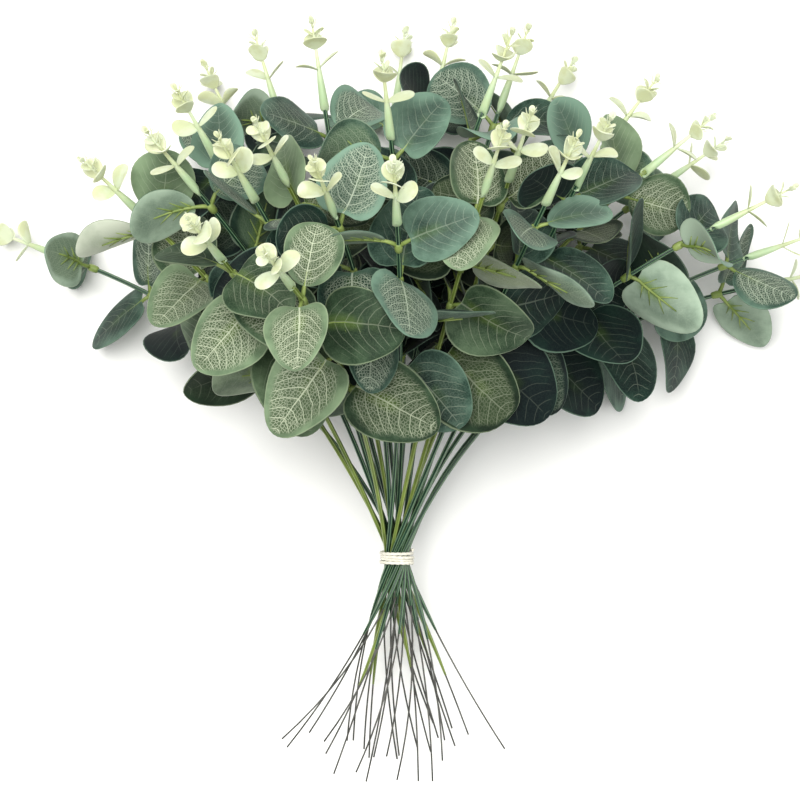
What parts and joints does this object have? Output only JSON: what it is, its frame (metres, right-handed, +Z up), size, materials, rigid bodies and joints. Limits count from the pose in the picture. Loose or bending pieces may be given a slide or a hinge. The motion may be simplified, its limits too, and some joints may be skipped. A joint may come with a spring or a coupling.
{
  "type": "artificial eucalyptus bunch",
  "caption": "Tied bunch of artificial eucalyptus: round paired leaves on wired stems, pale bud sprays plugged on the tips and a twine tie, lying on its back.",
  "frame": {"origin": "middle of the bounding box at the surface that the bunch lies on", "axes": "+Y from the wire ends to the head of the bunch, +X to the right as the front is seen, +Z up, out of the front of the bunch"},
  "size_m": [0.4146, 0.366, 0.2556],
  "materials": {
    "dark_green_pick": "dusty dark green, satin stem and cloth-like leaves",
    "olive_green_pick": "yellow-green, satin stem and cloth-like leaves",
    "pale_spray": "cream to pale mint moulded plastic, slightly translucent",
    "twine": "off-white twisted twine"
  },
  "bodies": {
    "root": {"pick_01_stem": "olive_green_pick", "pick_01_spray": "pale_spray", "pick_02_stem": "dark_green_pick", "pick_02_spray": "pale_spray", "pick_03_stem": "olive_green_pick", "pick_03_spray": "pale_spray", "pick_04_stem": "dark_green_pick", "pick_04_spray": "pale_spray", "pick_05_stem": "dark_green_pick", "pick_05_spray": "pale_spray", "pick_06_stem": "olive_green_pick", "pick_06_spray": "pale_spray", "pick_07_stem": "dark_green_pick", "pick_07_spray": "pale_spray", "pick_08_stem": "olive_green_pick", "pick_08_spray": "pale_spray", "pick_09_stem": "dark_green_pick", "pick_09_spray": "pale_spray", "pick_10_stem": "olive_green_pick", "pick_10_spray": "pale_spray", "pick_11_stem": "dark_green_pick", "pick_11_spray": "pale_spray", "pick_12_stem": "olive_green_pick", "pick_12_spray": "pale_spray", "pick_13_stem": "dark_green_pick", "pick_13_spray": "pale_spray", "pick_14_stem": "dark_green_pick", "pick_14_spray": "pale_spray", "pick_15_stem": "dark_green_pick", "pick_15_spray": "pale_spray", "pick_16_stem": "dark_green_pick", "pick_16_spray": "pale_spray", "pick_17_stem": "olive_green_pick", "pick_17_spray": "pale_spray", "pick_18_stem": "dark_green_pick", "pick_18_spray": "pale_spray", "pick_19_stem": "dark_green_pick", "pick_19_spray": "pale_spray", "pick_20_stem": "dark_green_pick", "pick_20_spray": "pale_spray", "pick_21_stem": "dark_green_pick", "pick_21_spray": "pale_spray", "pick_22_stem": "dark_green_pick", "pick_22_spray": "pale_spray", "pick_23_stem": "dark_green_pick", "pick_23_spray": "pale_spray", "pick_24_stem": "dark_green_pick", "pick_24_spray": "pale_spray", "pick_25_stem": "dark_green_pick", "pick_25_spray": "pale_spray", "pick_26_stem": "dark_green_pick", "pick_26_spray": "pale_spray", "pick_27_stem": "dark_green_pick", "pick_27_spray": "pale_spray", "pick_28_stem": "dark_green_pick", "pick_28_spray": "pale_spray", "pick_29_stem": "dark_green_pick", "pick_29_spray": "pale_spray", "tie": "twine"}
  },
  "joints": []
}
